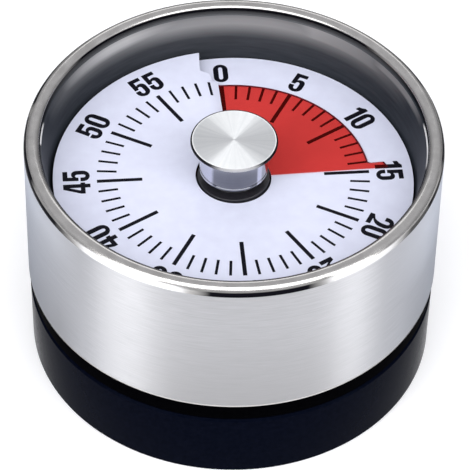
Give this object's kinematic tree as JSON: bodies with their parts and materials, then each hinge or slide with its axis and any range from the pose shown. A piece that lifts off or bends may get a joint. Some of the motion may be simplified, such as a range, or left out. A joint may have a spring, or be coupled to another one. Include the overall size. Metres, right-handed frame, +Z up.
{
  "type": "kitchen timer",
  "caption": "Round wind-up kitchen timer: a brushed steel can with a rolled rim on a black base, a recessed minute dial, a red disc that shrinks through a slit, and a centre knob.",
  "frame": {"origin": "centre of the flat underside", "axes": "+Z up through the knob's axis, +Y towards the dial's 0 mark"},
  "size_m": [0.078, 0.078, 0.05],
  "materials": {
    "brushed_ring": "brushed round the side, polished on the rolled rim",
    "dark_liner": "glossy charcoal plastic",
    "dial_white": "satin white sheet printed with ticks and numerals",
    "clear_red": "clear red film",
    "black_base": "glossy black plastic",
    "spun_aluminium": "spun top, polished neck",
    "plated_steel": "zinc plated",
    "spring_steel": "blued spring steel",
    "bell_steel": "nickel plated",
    "brass": "stamped brass",
    "acetal": "natural acetal",
    "magnet": "plated magnet disc"
  },
  "bodies": {
    "housing": {"outer_ring": "brushed_ring", "inner_case": "dark_liner", "dial_plate": "dial_white", "base_shell": "black_base", "case_screw_1": "plated_steel", "case_screw_2": "plated_steel", "case_screw_3": "plated_steel", "magnet_1": "magnet", "magnet_2": "magnet", "magnet_3": "magnet", "front_plate": "brass", "back_plate": "brass", "arbor_bush": "plated_steel", "pillar_1": "plated_steel", "pillar_2": "plated_steel", "pillar_3": "plated_steel", "movement_screw_1": "plated_steel", "movement_screw_2": "plated_steel", "movement_screw_3": "plated_steel", "mainspring": "spring_steel", "spring_post": "plated_steel", "hairspring": "spring_steel", "bell": "bell_steel", "bell_screw": "plated_steel", "hammer_stud": "plated_steel", "hammer_spring": "spring_steel"},
    "knob": {"knob_cap": "spun_aluminium", "knob_insert": "black_base", "main_arbor": "plated_steel", "main_wheel": "brass", "ratchet_wheel": "plated_steel", "arbor_clip": "spring_steel", "click_spring": "spring_steel", "alarm_cam": "acetal"},
    "click": {"click": "plated_steel"},
    "red_disc": {"red_disc": "clear_red"},
    "second": {"second_arbor": "plated_steel", "second_wheel": "acetal", "strike_wheel": "acetal"},
    "third": {"third_arbor": "plated_steel", "third_wheel": "acetal"},
    "escape": {"escape_arbor": "plated_steel", "escape_wheel": "acetal"},
    "pallet": {"pallet_lever": "plated_steel"},
    "balance": {"balance_wheel": "brass", "balance_staff": "plated_steel"},
    "hammer": {"hammer": "plated_steel"}
  },
  "joints": [
    {"name": "knob_turn", "type": "hinge", "parent": "housing", "child": "knob", "pos_m": [0, 0, 0.04], "axis": [0, 0, 1], "range_deg": [-271.5, 88.5]},
    {"name": "red_disc_climb", "type": "slide", "parent": "knob", "child": "red_disc", "axis": [0, 0, 1], "range_m": [-0.00043, 0.0013]},
    {"name": "click_lift", "type": "hinge", "parent": "knob", "child": "click", "pos_m": [-0.00553, -0.00659, 0.0272], "axis": [0, 0, 1], "range_deg": [0, 9], "stiffness_Nm_per_rad": 0.0002, "springref_deg": -5.73},
    {"name": "second_turn", "type": "hinge", "parent": "housing", "child": "second", "pos_m": [0.0155, 0, 0.0295], "axis": [0, 0, 1], "range_deg": [-546.9, 1677.9]},
    {"name": "third_turn", "type": "hinge", "parent": "housing", "child": "third", "pos_m": [0.01124, 0.01003, 0.0314], "axis": [0, 0, 1], "range_deg": [-8389.4, 2734.7]},
    {"name": "escape_turn", "type": "hinge", "parent": "housing", "child": "escape", "pos_m": [0.00463, 0.01713, 0.0278], "axis": [0, 0, 1], "range_deg": [-13673.2, 41946.8]},
    {"name": "pallet_rock", "type": "hinge", "parent": "housing", "child": "pallet", "pos_m": [-0.0032, 0.01879, 0.0297], "axis": [0, 0, 1], "range_deg": [-3, 3]},
    {"name": "balance_swing", "type": "hinge", "parent": "housing", "child": "balance", "pos_m": [-0.01024, 0.01543, 0.0229], "axis": [0, 0, 1], "range_deg": [-135, 135], "stiffness_Nm_per_rad": 0.00001},
    {"name": "hammer_kick", "type": "hinge", "parent": "housing", "child": "hammer", "pos_m": [0.01093, -0.01302, 0.0157], "axis": [0, 0, 1], "range_deg": [-4.5, 0], "stiffness_Nm_per_rad": 0.0005, "springref_deg": 5.73}
  ],
  "couplings": [
    {"joint": "red_disc_climb", "follows": "knob_turn", "m_per_rad": -0.00027056},
    {"joint": "second_turn", "follows": "knob_turn", "ratio": -6},
    {"joint": "third_turn", "follows": "knob_turn", "ratio": 30},
    {"joint": "escape_turn", "follows": "knob_turn", "ratio": -150}
  ]
}
